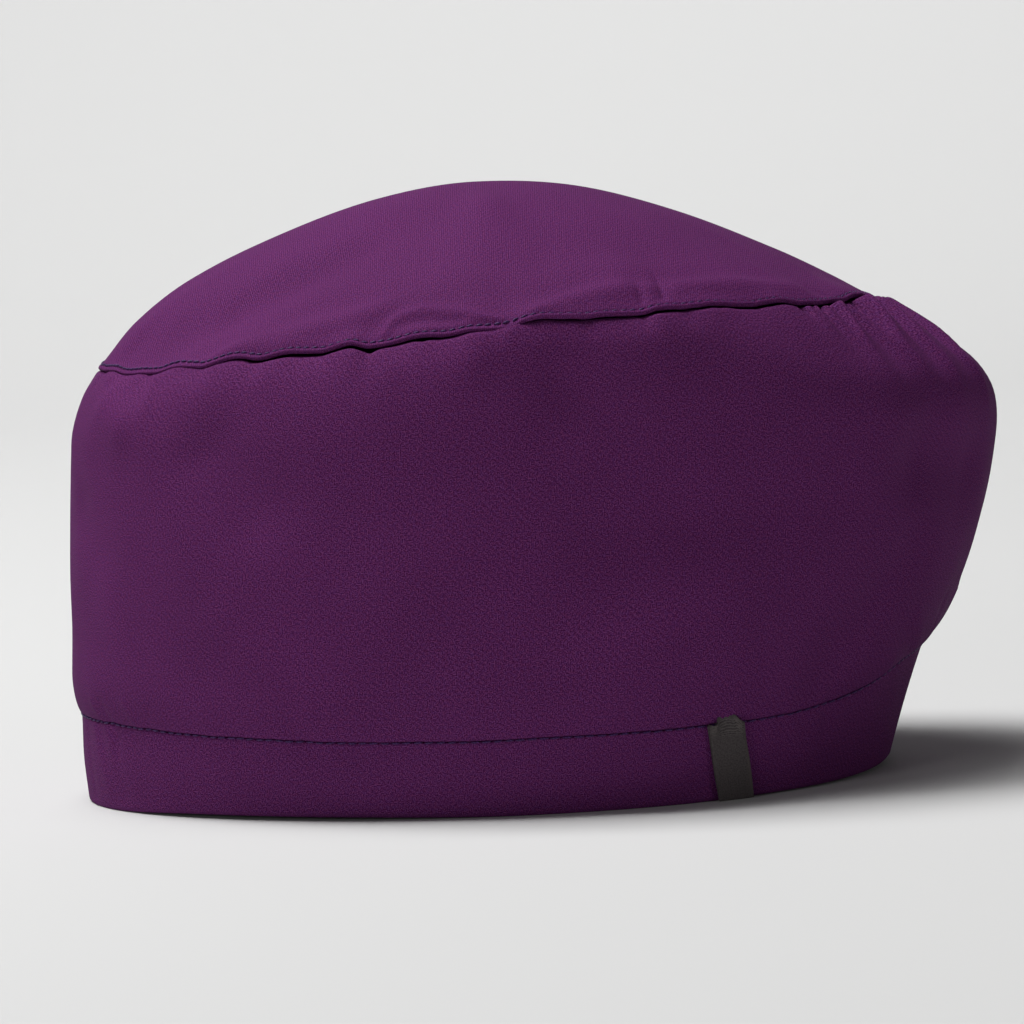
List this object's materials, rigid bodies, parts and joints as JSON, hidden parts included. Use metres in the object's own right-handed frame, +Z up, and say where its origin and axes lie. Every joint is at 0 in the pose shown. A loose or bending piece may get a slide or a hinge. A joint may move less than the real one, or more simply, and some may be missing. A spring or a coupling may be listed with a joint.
{
  "type": "scrub cap",
  "caption": "Soft theatre cap with an oval crown, a deep wall pouching out at the nape, and a stitched hem that goes round the head.",
  "frame": {"origin": "bottom centre of the bounding box, on the surface that the rim stands on", "axes": "+Z up, -Y towards the forehead, +Y towards the nape, +X towards the wearer's left side, where the label is"},
  "size_m": [0.171, 0.2261, 0.1445],
  "materials": {
    "cap_cloth": "fine dark purple twill with a soft sheen",
    "label_ribbon": "matt black woven ribbon",
    "thread": "dark violet sewing thread with a slight gloss"
  },
  "bodies": {
    "root": {"crown_panel": "cap_cloth", "side_wall": "cap_cloth", "hem_band": "cap_cloth", "label": "label_ribbon"}
  },
  "joints": []
}
